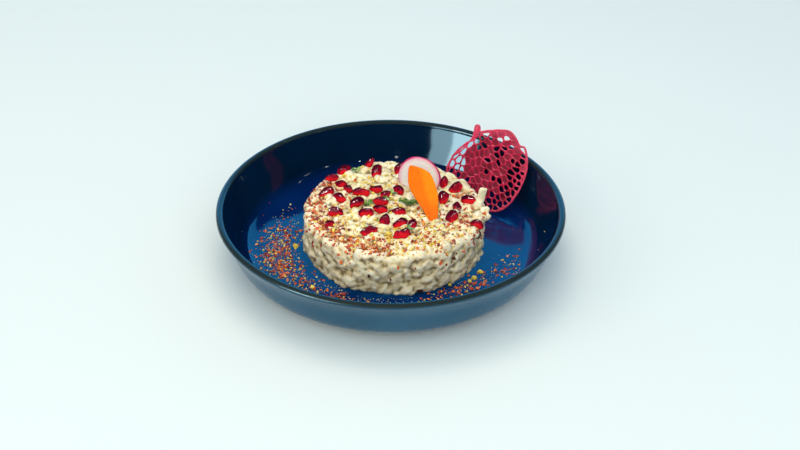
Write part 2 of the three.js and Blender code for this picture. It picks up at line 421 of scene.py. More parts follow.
def arilLook():
    f = MaterialMaker("pomegranateRed")
    paintedGlow = f.attribute("paintedGlow")
    patch = f.grain(0.0030, 3)
    # painted light: the painted glow makes the lower front of each grain bright red, as if light shone
    # through it, and the rest dark maroon; the grain only adds random tone
    shade = f.math("ADD", f.math("MULTIPLY", paintedGlow, 0.60), f.math("MULTIPLY", patch, 0.56))
    colour = f.ramp(
        shade, (0.24, (0.045, 0.0012, 0.009)), (0.44, (0.14, 0.003, 0.018)),
        (0.62, (0.36, 0.004, 0.018)), (0.84, (0.78, 0.012, 0.022)),
    )
    f.translucent(0.2, 0.0016, (1.0, 0.12, 0.10))
    return f.complete(colour, 0.13, f.bump(f.grain(0.0022, 2), 0.0003, 0.5), specular=0.55, ior=1.45)


def facetGrain(points, order):  # presses flat sides into a round grain, as neighbours in the fruit do
    draw = np.random.default_rng(order + 40)
    middle = points.mean(0)
    away = points - middle
    axes = np.linalg.eigh(away.T @ away)[1]
    local = away @ axes
    reach = np.abs(local).max(0)
    local /= reach
    local[:, :2] *= 1 - aril["taper"] * local[:, 2:]  # one end is narrower
    sides = draw.normal(size=(aril["facets"], 3))
    sides /= np.linalg.norm(sides, axis=1)[:, None]
    for side in sides:
        over = local @ side - draw.uniform(*aril["reach"])
        local -= np.outer(np.maximum(over, 0) * 0.92, side)
    return middle + (local * reach * np.array(aril["grow"])) @ axes.T


def makeArils():
    material = arilLook()
    names = sorted(name for name in nodes if name.startswith("aril"))
    for order, name in enumerate(names):
        piece = copySolid(name, "grain" + name[-3:])
        useModifier(piece, "SUBSURF", levels=2, render_levels=2)
        points = facetGrain(readPoints(piece), order)
        points[:, 2] -= aril["sink"] * mm
        writePoints(piece, points)
        useModifier(piece, "SMOOTH", factor=0.5, iterations=1)
        smoothShade(piece)
        # painted glow: faces turned down and to the front, away from the light above and behind, get the
        # bright red
        down = readNormals(piece) @ np.array([0.10, -0.62, -0.60])
        saveAttribute(piece, "paintedGlow", smoothStep(down, -0.75, 0.75))
        finishPiece(piece, name.replace("aril", "pomegranate"), "aril", material, name)
        garnishPieces.append(piece)


makeArils()


# radish slice: white flesh inside a thin magenta skin

radish = {
    "radius": 14, "thick": 1.8, "place": (18.2, 24, 41.8), "yaw": -14, "lean": 8, "warp": 0.5,
    "rings": (0.35, 0.35, 0.5, 0.8, 1.2, 1.8, 2.4, 2.6, 2.2),  # drawn in towards the middle
}


def standUp(piece, settings):  # turns a piece that was made flat to its place
    piece.rotation_euler = (math.radians(90 - settings["lean"]), 0, math.radians(settings["yaw"]))
    piece.location = Vector(settings["place"]) * mm
    applyPlace(piece)


def radishLook():
    f = MaterialMaker("radishFlesh")
    reach = f.attribute("reach")
    flesh = f.ramp(f.grain(0.004, 3), (0.3, (0.93, 0.84, 0.84)), (0.7, (0.98, 0.94, 0.92)))
    colour = f.layered(
        flesh, (f.ramp(f.attribute("vein"), (0.5, 0.0), (0.9, 0.35)), (0.84, 0.62, 0.68)),
        (f.ramp(reach, (0.78, 0.0), (0.92, 0.5), (0.96, 1.0)), (0.86, 0.24, 0.42)),
        (f.ramp(reach, (0.95, 0.0), (0.975, 1.0)), (0.55, 0.012, 0.12)),
    )
    f.translucent(0.12, 0.0012, (1.0, 0.7, 0.7))
    return f.complete(colour, 0.32, f.bump(f.grain(0.0011, 3), 0.00015, 0.3), coat=0.1, coatRoughness=0.2)


def makeRadish():
    r, thick = radish["radius"], radish["thick"]
    deselectAll()
    bpy.ops.mesh.primitive_cylinder_add(vertices=72, radius=r * mm, depth=thick * mm)
    piece = bpy.context.object
    for face in piece.data.polygons:
        face.select = len(face.vertices) > 4
    bpy.ops.object.mode_set(mode="EDIT")
    bpy.ops.mesh.select_mode(type="FACE")
    for step in radish["rings"]:
        bpy.ops.mesh.inset(thickness=step * mm, use_individual=True)
    bpy.ops.mesh.poke()
    bpy.ops.mesh.select_mode(type="VERT")
    leaveEdit()
    points = readPoints(piece) / mm
    away, spin = polar(points)
    edge = smoothStep(away, r - 0.7, r)
    points[:, 2] *= 1 - 0.55 * edge**2
    wobble = 1 + 0.012 * np.sin(3 * spin + 1) + 0.007 * np.sin(7 * spin)
    points[:, :2] *= wobble[:, None]
    points[:, 2] += radish["warp"] * (away / r) ** 2 * np.sin(2 * spin + 0.6)
    writePoints(piece, points * mm)
    useModifier(piece, "SUBSURF", levels=1, render_levels=1)
    away, spin = polar(readPoints(piece) / mm)
    away /= r
    saveAttribute(piece, "reach", away)
    rays = noiseAt(np.cos(spin) * 9, np.sin(spin) * 9, 4 * away)
    saveAttribute(piece, "vein", smoothStep(rays, 0.0, 0.6) * smoothStep(away, 0.15, 0.8))
    smoothShade(piece)
    standUp(piece, radish)
    finishPiece(piece, "radish_round", "radish", radishLook(), "radish_slice")
    garnishPieces.append(piece)


makeRadish()


# carrot slice: cut on the bias, ridged down its middle

carrot = {
    "thick": 2.2, "place": (27, -13.5, 34.5), "yaw": -6, "lean": 42, "voxel": 0.3,
    "ridge": (-9.5, 26, 0.33),  # x and y of its top, and how far it runs to the right on its way down
    "edge": [
        (2.6, -6), (2.2, 3), (1.6, 13), (-0.6, 21), (-4.4, 28), (-8.8, 30.6), (-11.8, 31.6), (-16.6, 32.6),
        (-18.2, 31.2), (-18.4, 26), (-17, 18.5), (-11, 9.6), (-5, 1), (-1.8, -6),
    ],
}


def carrotLook():
    f = MaterialMaker("carrotOrange")
    fibre = f.grain(0.0012, 4, 0.6, stretch=(1, 0.35, 0.35))
    # the left half of the fold is painted a deeper orange than the right half: painted shade, since the fold
    # turns it away from the light
    shadedLeft = f.ramp(fibre, (0.3, (0.84, 0.150, 0.0005)), (0.7, (0.92, 0.195, 0.001)))
    right = f.ramp(fibre, (0.3, (0.94, 0.215, 0.001)), (0.7, (0.98, 0.275, 0.002)))
    colour = f.layered(
        shadedLeft, (f.ramp(f.attribute("side"), (0.20, 0.0), (0.80, 1.0)), right),
        (f.attribute("foot"), (0.80, 0.14, 0.002)), (f.specks(0.0042, 0.11, 0.8), (0.28, 0.035, 0.002)),
    )
    f.translucent(0.15, 0.0025, (1.0, 0.3, 0.02))
    return f.complete(colour, 0.42, f.bump(fibre, 0.00025, 0.3), specular=0.12)


def makeCarrot():
    line = curveThrough(carrot["edge"] + carrot["edge"][:1], 5)[:-1]
    deselectAll()
    bpy.ops.mesh.primitive_circle_add(vertices=len(line), radius=1, fill_type="NGON")
    piece = bpy.context.object
    writePoints(piece, np.array([[p.x, p.y, -carrot["thick"] / 2] for p in line]) * mm)
    editAll(piece)
    bpy.ops.mesh.extrude_region_move(TRANSFORM_OT_translate={"value": (0, 0, carrot["thick"] * mm)})
    normalsOut()
    leaveEdit()
    remesh(piece, carrot["voxel"])
    points = readPoints(piece) / mm
    x, y, z = points.T.copy()
    ridgeX, ridgeY, slope = carrot["ridge"]
    side = x - (ridgeX + slope * (ridgeY - y))
    ridge = -0.085 * np.abs(side) + 0.25 * np.exp(-(side / 1.6) ** 2)
    ripple = noiseAt(x * 0.5, y * 0.22, 3)
    points[:, 2] = z + ridge * (z > 0) * 0.9 + ridge * (z <= 0) * 0.5 + 0.22 * ripple
    points[:, 2] += 0.0016 * (y - 13) ** 2 - 0.25
    writePoints(piece, points * mm)
    useModifier(piece, "SMOOTH", factor=0.5, iterations=4)
    # painted shade across the fold: 0 on the darker left half, 1 on the lighter right half
    saveAttribute(piece, "side", smoothStep(side, -3.2, 3.2))
    saveAttribute(piece, "foot", smoothStep(-y, -15, -2) * 0.9)
    smoothShade(piece)
    standUp(piece, carrot)
    finishPiece(piece, "carrot_bias_cut", "carrot", carrotLook(), "carrot_slice")
    garnishPieces.append(piece)


makeCarrot()


# the dip: a moulded round of chopped smoked aubergine

dip = {
    "centre": (2, 1), "radius": 56.9, "top": 34.2, "base": 6.3, "edge": 4.4,
    "coarse": 1.3, "fine": 0.76, "pocket": 0.42,  # voxels
    "bits": 2600, "sideShare": 0.52, "seed": 6,
    "mound": (13, 1.5), "lump": 8.5,  # size and rise of the wide mounds, size of the lumps
    "fibre": (560, 0.62),  # fineness and rise
    "shreds": [  # place, size, turn, lean, how much narrower at the tip
        ((56.8, 1.0, 40.4), (3.1, 1.6, 7.9), 14, (4, 11), 0.0),
        ((56.0, -0.2, 35.8), (3.0, 2.1, 3.6), 0, (8, 4), 0.22),
        ((59.8, -6.3, 31.4), (2.6, 1.3, 2.6), 20, (10, 58), 0.22),
        ((59.8, -3.5, 34.2), (2.4, 1.6, 3.2), 0, (-12, 30), 0.22),
        ((52.4, 5.6, 39.0), (0.8, 0.7, 5.0), -35, (0, -50), 0.2),
    ],
    "dust": [(178, 30, 1), (238, 34, 0.9), (320, 40, 0.45), (10, 20, 0.35)],  # turn, width, amount
}


def moundedRound():
    height = dip["top"] - dip["base"] + 2
    deselectAll()
    bpy.ops.mesh.primitive_cylinder_add(
        vertices=120, radius=dip["radius"] * mm, depth=height * mm,
        location=(dip["centre"][0] * mm, dip["centre"][1] * mm, (dip["top"] - height / 2) * mm),
    )
    piece = bpy.context.object
    applyPlace(piece)
    editNone(piece)
    leaveEdit()
    for edge in piece.data.edges:
        ends = [piece.data.vertices[i].co.z for i in edge.vertices]
        edge.select = min(ends) > (dip["top"] - 1) * mm
    bpy.ops.object.mode_set(mode="EDIT")
    bpy.ops.mesh.select_mode(type="EDGE")
    bpy.ops.mesh.bevel(offset=dip["edge"] * mm, segments=5, profile=0.5)
    bpy.ops.mesh.select_mode(type="VERT")
    leaveEdit()
    return piece


def shredOfAubergine(place, size, turn, lean, narrow):
    deselectAll()
    bpy.ops.mesh.primitive_cylinder_add(vertices=10, radius=1, depth=2)
    piece = bpy.context.object
    editAll(piece)
    bpy.ops.mesh.subdivide(number_cuts=2)
    leaveEdit()
    points = readPoints(piece)
    points[:, :2] *= 1 - narrow * points[:, 2:3]
    writePoints(piece, points)
    piece.scale = Vector(size) * mm
    piece.rotation_euler = (math.radians(lean[0]), math.radians(lean[1]), math.radians(turn))
    piece.location = Vector(place) * mm
    applyPlace(piece)
    return piece


def lumpField(points, size, offset):  # soft mounds, each with a height of its own
    heights = np.zeros(len(points))
    for i, p in enumerate(points):
        q = Vector(p) / (size * mm) + offset
        q += noise.noise_vector(q * 0.8) * 0.35
        distances, seeds = noise.voronoi(q)
        between = min((distances[1] - distances[0]) * 2.4, 1)
        heights[i] = 0.75 * between * (1.2 - distances[0]) + 0.9 * noise.noise(seeds[0] * 7.3)
    return heights - heights.mean()


class ChoppedBits:  # bits of soft aubergine, pressed over each other all over the surface
    def __init__(self):
        draw = np.random.default_rng(dip["seed"])
        count = dip["bits"]
        radius, top = dip["radius"] * mm, dip["top"] * mm
        turn = draw.uniform(0, 2 * math.pi, count)
        out = np.stack([np.cos(turn), np.sin(turn), 0 * turn], -1)
        onSide = draw.random(count) < dip["sideShare"]
        reach = np.where(onSide, radius, radius * np.sqrt(draw.random(count)))
        self.spots = out * reach[:, None] + np.array([*dip["centre"], 0]) * mm
        self.spots[:, 2] = np.where(onSide, draw.uniform(dip["base"] * mm, top, count), top)
        self.facing = np.where(onSide[:, None], out, np.array([0, 0, 1]))
        along = draw.normal(size=(count, 3)) * np.array([1, 1, 0.55])
        along -= (along * self.facing).sum(1)[:, None] * self.facing
        self.along = along / np.linalg.norm(along, axis=1)[:, None]
        size = draw.random(count) ** 2.2
        self.long = 1.6 + 3.6 * size * draw.uniform(0.7, 1.3, count)
        self.wide = 1.0 + 1.7 * size * draw.uniform(0.7, 1.3, count)
        self.high = (0.5 + 1.25 * size) * draw.uniform(0.5, 1.2, count)
        self.tone = draw.random(count)
        self.tree = KDTree(count)
        for i, spot in enumerate(self.spots):
            self.tree.insert(spot, i)
        self.tree.balance()

    def over(self, points):  # how high the bits stand at each point, and the tone of the highest one
        near = np.array([[hit[1] for hit in self.tree.find_n(p, 9)] for p in points])
        height = np.full(len(points), -0.25)
        tone = np.full(len(points), 0.5)
        for column in near.T:
            away = (points - self.spots[column]) / mm
            away -= 0.85 * (away * self.facing[column]).sum(1)[:, None] * self.facing[column]
            along = (away * self.along[column]).sum(1)
            across = (away**2).sum(1) - along**2
            reach = (along / self.long[column]) ** 2 + across / self.wide[column] ** 2
            rise = self.high[column] * np.sqrt(np.clip(1 - reach, 0, 1)) - 0.12
            better = (rise > height) & (reach < 1)
            height = np.where(better, rise, height)
            tone = np.where(better, self.tone[column], tone)
        return height, tone


def smoothed(piece, values, rounds):  # values averaged over each point's neighbours
    ends = np.zeros(len(piece.data.edges) * 2, dtype=np.int64)
    piece.data.edges.foreach_get("vertices", ends)
    a, b = ends.reshape(-1, 2).T
    size = len(values)
    count = np.bincount(np.r_[a, b], minlength=size)[:, None]
    for _ in range(rounds):
        total = np.zeros_like(values)
        for axis, column in enumerate(values.T):
            total[:, axis] = np.bincount(a, column[b], size) + np.bincount(b, column[a], size)
        values = 0.5 * values + 0.5 * total / np.maximum(count, 1)
    return values


def cutFoot(piece, height, fill):  # cuts off all that is below a height
    editAll(piece)
    bpy.ops.mesh.bisect(plane_co=(0, 0, height * mm), plane_no=(0, 0, 1), use_fill=fill, clear_inner=True)
    leaveEdit()


def swellRound(body):  # a foot that spreads here and there, and wide mounds all over
    points = readPoints(body)
    normals = readNormals(body)
    centre = np.array([*dip["centre"], 0]) * mm
    around = polar(points - centre)[1]
    low = smoothStep(-points[:, 2] / mm, -15, -dip["base"])
    spread = noiseAt(np.cos(around) * 1.8, np.sin(around) * 1.8, 2.0)
    out = low * (0.6 + 2.0 * np.clip(spread, -0.3, 1))
    points += normals * np.stack([out, out, 0 * out], -1) * mm
    size, rise = dip["mound"]
    points += normals * (lumpField(points, size, Vector((3, 1, 8))) * rise * mm)[:, None]
    writePoints(body, points)


def chopSurface(body, bits):  # lumps, bits and fibres, finer on the side than on the top
    points = readPoints(body)
    normals = readNormals(body)
    upper = smoothStep(points[:, 2] / mm, 25, 33)
    streak = np.array([1, 1, 1.9]) * (1 - upper[:, None]) + upper[:, None]
    rise = bits.over(points)[0]
    lump = lumpField(points * np.array([1, 1, 1.2]), dip["lump"], Vector((9, 4, 1)))
    fineness, fibreRise = dip["fibre"]
    fibre = np.array([noise.fractal(Vector(p) * fineness, 1.0, 2.0, 3) for p in points * streak])
    lift = lump * (1.0 + 0.35 * upper) + (rise - 0.35) * (1.2 + 0.1 * upper) + fibre * fibreRise
    lift *= 1 - 0.72 * smoothStep(points[:, 2] / mm, 36.2, 38)  # the upright shred stays smooth
    rim = smoothStep(points[:, 2] / mm, dip["base"] + 0.2, dip["base"] + 1.6)
    lift = np.where(rim > 0.5, lift, np.minimum(lift, 0.6))
    push = normals * (lift * mm)[:, None]
    push[:, 2] *= rim
    points += push
    points[:, 2] = np.maximum(points[:, 2], dip["base"] * mm)
    writePoints(body, points)


def makeDip():
    body = moundedRound()
    shreds = [shredOfAubergine(*shred) for shred in dip["shreds"]]
    remesh(body, dip["coarse"])
    swellRound(body)
    pick(body, *shreds)
    bpy.ops.object.join()
    remesh(body, dip["fine"])
    cutFoot(body, dip["base"], False)
    bits = ChoppedBits()
    chopSurface(body, bits)
    editNone(body)
    bpy.ops.mesh.select_non_manifold(extend=False)
    bpy.ops.mesh.edge_face_add()
    leaveEdit()
    remesh(body, dip["fine"])
    print("dip lumps shaped", len(body.data.vertices))
    return body, bits


def pocketCutter():  # the garnish, a little larger, in one piece
    copies = []
    for piece in garnishPieces:
        twin = addObject("pocket", piece.data.copy())
        useModifier(twin, "DISPLACE", strength=aril["room"] * mm, mid_level=0)
        copies.append(twin)
    pick(*copies)
    bpy.ops.object.join()
    cutter = bpy.context.object
    remesh(cutter, dip["pocket"])
    return cutter


def dipLook():
    f = MaterialMaker("smokedAubergine")
    reliefShading = f.attribute("reliefShading")
    upper = f.attribute("upper")
    tone = f.attribute("tone")
    blotch = f.grain(0.011, 4)
    side = f.ramp(blotch, (0.28, (0.62, 0.49, 0.27)), (0.5, (0.76, 0.63, 0.38)), (0.75, (0.87, 0.76, 0.51)))
    top = f.ramp(blotch, (0.32, (0.76, 0.55, 0.23)), (0.5, (0.93, 0.75, 0.38)), (0.75, (0.98, 0.87, 0.58)))
    oil = f.math("MULTIPLY", f.ramp(f.grain(0.017, 3), (0.52, 0.0), (0.72, 0.5)), upper)
    dust = f.ramp(f.grain(0.0021, 4, 0.7), (0.46, 0.0), (0.62, 1.0))
    colour = f.layered(
        side, (upper, top),
        (f.ramp(tone, (0.62, 0.0), (0.95, 0.75)), (0.92, 0.86, 0.66)),
        (f.ramp(tone, (0.05, 0.55), (0.34, 0.0)), (0.42, 0.35, 0.19)),
        (oil, (0.80, 0.70, 0.28)),
        (f.math("MULTIPLY", f.attribute("dust"), dust), (0.82, 0.25, 0.02)),
        # painted shade: dark brown in the hollows between lumps; painted highlight: pale cream on the crests
        (f.ramp(reliefShading, (0.46, 0.0), (0.76, 0.85)), (0.22, 0.16, 0.08)),
        (f.ramp(reliefShading, (0.12, 0.55), (0.42, 0.0)), (0.93, 0.88, 0.74)),
        (f.specks(0.0034, 0.15, 0.85), (0.13, 0.07, 0.03)),
    )
    grain = f.grain(0.0016, 4, 0.65)
    f.translucent(0.2, 0.003, (1.0, 0.7, 0.45))
    rough = f.ramp(grain, (0.3, 0.35), (0.7, 0.6))
    return f.complete(colour, rough, f.bump(grain, 0.0006, 0.5), ior=1.4, coat=0.12, coatRoughness=0.25)


def chilliDust(points):  # how red each place is: most on the left and front left of the rim
    away, spin = polar(points - np.array([*dip["centre"], 0]))
    turn = np.degrees(spin) % 360
    band = np.exp(-(((away - 50) / 7.5) ** 2)) * smoothStep(points[:, 2], 27, 33)
    amount = sum(much * np.exp(-(((turn - middle) / wide) ** 2)) for middle, wide, much in dip["dust"])
    return np.clip(0.05 + 0.95 * band * amount, 0, 1) * smoothStep(points[:, 2], 26, 31)


def finishDip():
    body, bits = makeDip()
    cutter = pocketCutter()
    useModifier(body, "BOOLEAN", operation="DIFFERENCE", object=cutter, solver="EXACT")
    bpy.data.objects.remove(cutter)
    cutFoot(body, dip["base"] + 0.2, True)
    print("pockets cut", len(body.data.vertices))
    points = readPoints(body)
    normals = readNormals(body)
    # how deep each point lies in a hollow, for painted shade in the hollows and a painted highlight on the
    # crests; near the top, deep hollows also take more of the side's darker colour
    near = ((smoothed(body, points, 6) - points) * normals).sum(1) / mm
    wide = ((smoothed(body, points, 40) - points) * normals).sum(1) / mm
    saveAttribute(body, "reliefShading", np.clip(0.35 + 0.9 * near + 0.45 * wide, 0, 1))
    saveAttribute(body, "upper", smoothStep(points[:, 2] / mm - 2.5 * wide, 25, 33.5))
    saveAttribute(body, "dust", chilliDust(points / mm))
    saveAttribute(body, "tone", smoothed(body, bits.over(points)[1][:, None], 2)[:, 0])
    smoothShade(body)
    finishPiece(body, "dip_cake", "dip", dipLook(), "dip", "aubergine_shred")
    return body


dipCake = finishDip()


# beetroot lace: a thin crisp net that leans on the rim

lace = {
    "place": (65.4, 57.4, 28.9), "yaw": -30, "lean": 38, "curl": 0.0022, "middle": 0.7,
    "root": (-15.5, 23), "ring": 5.4, "step": 3.5, "seed": 11,
    "bar": 1.22, "border": 0.72, "skin": 0.34, "stemThick": 1.1, "merge": 0.55,
    "skinned": ((16, 0.80), (20, 0.40), (99, 0.08)),  # up to this far from the middle, this share of cells
    "skinnedTop": 0.5,
    "outline": [
        (-14.2, 22.4), (-8, 25), (1, 27.8), (7.4, 28.2), (13, 24.8), (17.4, 20.6), (21.4, 20),
        (25.6, 13), (28, 4), (27.4, -7), (24.6, -17), (19, -25), (10, -28.2), (-2, -28.4),
        (-14, -25.4), (-24, -18), (-28, -9), (-27, 1), (-23, 9.4), (-17.6, 16.6), (-18.2, 25.4),
        (-15.6, 26.2),
    ],
    "stem": [(-17.8, 14.8), (-13.4, 18.6), (-14.6, 22.6), (-15.4, 26), (-17.8, 25.6), (-17.2, 21)],
}


def laceEdge():
    corners = [(x * 0.985, y * 0.985) for x, y in lace["outline"]]
    return [(p.x, p.y) for p in curveThrough(corners + corners[:1], 6)[:-1]]


def nearestOnEdge(x, y, edge):  # the nearest point of the outline, and how far inside it the point is
    a = np.array(edge)
    b = np.roll(a, -1, axis=0)
    along = b - a
    t = np.clip(((np.array([x, y]) - a) * along).sum(1) / (along**2).sum(1), 0, 1)
    spots = a + along * t[:, None]
    away = np.hypot(spots[:, 0] - x, spots[:, 1] - y)
    k = int(away.argmin())
    spans = (a[:, 1] > y) != (b[:, 1] > y)
    crossing = a[:, 0] + along[:, 0] * (y - a[:, 1]) / np.where(along[:, 1] == 0, 1e-9, along[:, 1])
    inside = (spans & (x < crossing)).sum() % 2 == 1
    return spots[k], away[k] if inside else -away[k]


def clipTowards(polygon, seed, other):  # the part of a polygon that is nearer to seed than to other
    middle = ((seed[0] + other[0]) / 2, (seed[1] + other[1]) / 2)
    away = (other[0] - seed[0], other[1] - seed[1])
    sides = [(p[0] - middle[0]) * away[0] + (p[1] - middle[1]) * away[1] for p in polygon]
    kept = []
    for i, (p, here) in enumerate(zip(polygon, sides)):
        q, there = polygon[(i + 1) % len(polygon)], sides[(i + 1) % len(polygon)]
        if here <= 0:
            kept.append(p)
        if here * there < 0:
            t = here / (here - there)
            kept.append((p[0] + (q[0] - p[0]) * t, p[1] + (q[1] - p[1]) * t))
    return kept


def laceCells(edge):  # cells that fan out from the stem
    cellRandom = random.Random(lace["seed"])
    seeds = []
    rootX, rootY = lace["root"]
    for ring in range(16):
        reach = 1.5 + ring * lace["ring"]
        count = max(5, round(2 * math.pi * reach / lace["step"]))
        for k in range(count):
            turn = 2 * math.pi * (k + 0.5 * (ring % 2)) / count
            far = reach + cellRandom.uniform(-1.7, 1.7)
            turn += cellRandom.uniform(-0.8, 0.8) / max(reach, 3)
            seeds.append((rootX + far * math.cos(turn), rootY + far * math.sin(turn)))
    cells = []
    for seed in seeds:
        if nearestOnEdge(*seed, edge)[1] < 0.3:
            continue
        cell = [(seed[0] + a, seed[1] + b) for a, b in ((-12, -12), (12, -12), (12, 12), (-12, 12))]
        for other in seeds:
            if 0 < (other[0] - seed[0]) ** 2 + (other[1] - seed[1]) ** 2 < 170:
                cell = clipTowards(cell, seed, other)
        cells.append((seed, cell))
    return cells


def laceSheet(name, cells, edge, skinnedOnly):
    points, faces = [], []
    skinRandom = random.Random(lace["seed"] + 5)
    for (seedX, seedY), cell in cells:
        middle = math.hypot(seedX - 1, seedY + 1)
        share = next(share for reach, share in lace["skinned"] if middle < reach)
        skinned = skinRandom.random() < share
        if seedY > 12 and seedX > -12:
            skinned = skinRandom.random() < lace["skinnedTop"]
        if skinnedOnly and not skinned:
            continue
        faces.append(list(range(len(points), len(points) + len(cell))))
        for x, y in cell:
            spot, inside = nearestOnEdge(x, y, edge)
            if inside < 0.7:
                x, y = spot
            points.append((x * mm, y * mm, lace["middle"] * mm))
    piece = meshPiece(name, points, faces)
    editAll(piece)
    bpy.ops.mesh.remove_doubles(threshold=lace["merge"] * mm)
    bpy.ops.mesh.select_all(action="SELECT")
    bpy.ops.mesh.dissolve_degenerate(threshold=0.3 * mm)
    normalsOut()
    leaveEdit()
    return piece


def laceBorder(edge):  # the thicker bar that runs round the crisp
    curve = bpy.data.curves.new("laceBorder", "CURVE")
    curve.dimensions = "3D"
    curve.bevel_depth = lace["border"] * mm
    curve.bevel_resolution = 2
    line = curve.splines.new("POLY")
    line.points.add(len(edge) - 1)
    for point, (x, y) in zip(line.points, edge):
        wave = 0.25 * math.sin(0.9 * x + 0.6 * y)
        point.co = (x * 0.99 * mm, y * 0.99 * mm, (lace["middle"] + wave) * mm, 1)
        point.radius = 1 + 0.35 * noise.noise(Vector((x * 0.3, y * 0.3, 1)))
    line.use_cyclic_u = True
    pick(addObject("laceBorder", curve))
    bpy.ops.object.convert(target="MESH")
    return bpy.context.object


def laceLook():
    f = MaterialMaker("beetrootCrisp")
    patch = f.grain(0.009, 3)
    bars = f.ramp(
        patch, (0.3, (0.30, 0.004, 0.028)), (0.55, (0.48, 0.008, 0.052)), (0.8, (0.68, 0.025, 0.11)),
    )
    skin = f.ramp(patch, (0.3, (0.13, 0.003, 0.018)), (0.7, (0.27, 0.010, 0.036)))
    rim = f.math("MULTIPLY", f.attribute("rim"), 0.55)
    colour = f.layered(skin, (f.attribute("ridge"), bars), (rim, (0.80, 0.075, 0.16)))
    f.translucent(0.12, 0.001, (1.0, 0.1, 0.15))
    return f.complete(colour, 0.34, f.bump(f.grain(0.0012, 3), 0.0002, 0.4), specular=0.3)


def makeLace():
    edge = laceEdge()
    cells = laceCells(edge)
    net = laceSheet("beetroot_lace", cells, edge, False)
    skin = laceSheet("laceSkin", cells, edge, True)
    stem = laceSheet("laceStem", [(lace["root"], lace["stem"])], edge, False)
    useModifier(net, "WIREFRAME", thickness=lace["bar"] * mm, use_boundary=True)
    useModifier(net, "SUBSURF", levels=1, render_levels=1)
    useModifier(skin, "SOLIDIFY", thickness=lace["skin"] * mm, offset=0)
    useModifier(stem, "SOLIDIFY", thickness=lace["stemThick"] * mm, offset=0)
    useModifier(stem, "BEVEL", width=0.3 * mm, segments=2)
    parts = [net, skin, stem, laceBorder(edge)]
    for part in parts:
        saveAttribute(part, "ridge", np.full(len(part.data.vertices), float(part != skin)))
    pick(*parts)
    bpy.ops.object.join()
    points = readPoints(net) / mm
    x, y = points[:, 0], points[:, 1]
    ripple = noiseAt(x * 0.11, y * 0.11, 3)
    fine = noiseAt(x * 0.55, y * 0.55, 8)
    points[:, 2] += lace["curl"] * x**2 + 0.5 * ripple + 0.35 * fine
    rim = np.array([nearestOnEdge(*spot, edge)[1] for spot in points[:, :2]])
    saveAttribute(net, "rim", smoothStep(-rim, -5.5, -0.5))
    writePoints(net, points * mm)
    pick(net)
    bpy.ops.object.shade_smooth_by_angle(angle=math.radians(60))
    standUp(net, lace)
    finishPiece(net, "beetroot_lace", "lace", laceLook(), "beet_lace")


makeLace()


# sprinkles: chilli flakes, yellow crumbs, fine grains, dark specks and bits of skin

sprinkles = {
    "seed": 21,
    "patches": [  # in the bowl: x, y, half length along x and y, half width, share
        (-71, -3, 1, 16, 6, 0.38), (-64, -31, 9, -11, 6, 0.26), (-40, -54, 11, -5, 5, 0.12),
        (44, -48, 13, 7, 5.5, 0.17), (68, -30, 8, 10, 5, 0.05),
    ],
    "chilliLook": (
        "driedChilli", 0.5, (0.0, (0.17, 0.011, 0.004)), (0.35, (0.45, 0.038, 0.005)),
        (0.7, (0.76, 0.115, 0.008)), (1.0, (0.92, 0.30, 0.02)),
    ),
    "chilliBands": [  # on the dip: from turn, to turn, distance from the middle, spread, count
        (140, 215, 51, 4.5, 330), (205, 268, 49, 5, 460), (268, 350, 44, 9, 260), (0, 360, 30, 18, 160),
        (-30, 25, 48, 7, 130), (150, 200, 40, 8, 90), (300, 330, 28, 6, 60),
    ],
    "largeChilli": [  # x, y in the bowl
        (-77.7, -14.9), (-72.9, -11.4), (-82.1, 12.7), (-64.2, -34.4), (-55.1, -40.6), (-47, -50),
        (57.8, -45), (23.1, -60.5), (81, -24.2), (70.5, -31), (42.3, -48.4), (-70, -22), (-66, -28),
        (52, -44),
    ],
    "sideChilli": [  # turn, height
        (300, 27), (322, 29), (205, 12), (283, 25), (331, 24), (243, 26), (347, 27),
    ],
    "crumbLook": (
        "yellowCrumb", 0.55, (0.0, (0.80, 0.50, 0.04)), (0.5, (0.92, 0.70, 0.10)), (1.0, (0.92, 0.82, 0.38)),
    ),
    "crumbBands": [
        (0, 360, 24, 14, 340), (200, 340, 44, 8, 340), (90, 200, 34, 10, 140), (255, 285, 33, 5, 60),
    ],
    "dipCrumbs": [  # x, y, size
        (-8.4, -29.1, 3.4), (-1, -31.2, 3.6), (-34.7, -30.7, 3), (-30.3, 36.1, 3), (-17.1, 5.4, 2.6),
        (22, -27, 2.4),
    ],
    "floorCrumbs": [
        (-61, -5.1, 4), (-47.8, -49.6, 3.6), (36.4, -46, 3), (52, -39, 3.6), (56, -33, 4), (49, -42, 2.6),
    ],
    "grainLook": ("paleGrain", 0.6, (0.0, (0.62, 0.50, 0.26)), (1.0, (0.92, 0.88, 0.72))),
    "pepperLook": ("crackedPepper", 0.6, (0.0, (0.030, 0.014, 0.008)), (1.0, (0.12, 0.045, 0.02))),
    "skinLook": ("charredSkin", 0.45, (0.0, (0.060, 0.018, 0.010)), (1.0, (0.20, 0.06, 0.03))),
    "skinBits": [  # turn, height, size
        (310, 24, 3), (286, 9, 4.6), (303, 23, 2), (312, 27, 1.6), (255, 20, 2.6), (268, 18, 2),
        (222, 22, 1.5), (337, 26, 4.5), (340, 27, 3.5), (60, 20, 3), (120, 16, 2.5), (90, 24, 2),
        (30, 14, 2), (175, 18, 2),
    ],
}
rng = random.Random(sprinkles["seed"])


def surfaceOf(piece):  # each face starts at its lowest corner, so it is split the same way in every run
    points = [Vector(p) for p in readPoints(piece)]
    faces = []
    for face in piece.data.polygons:
        corners = list(face.vertices)
        first = min(range(len(corners)), key=lambda i: tuple(points[corners[i]]))
        faces.append(corners[first:] + corners[:first])
    return BVHTree.FromPolygons(points, faces)


dipSurface = surfaceOf(dipCake)
bowlSurface = surfaceOf(bpy.data.objects["glazed_bowl"])


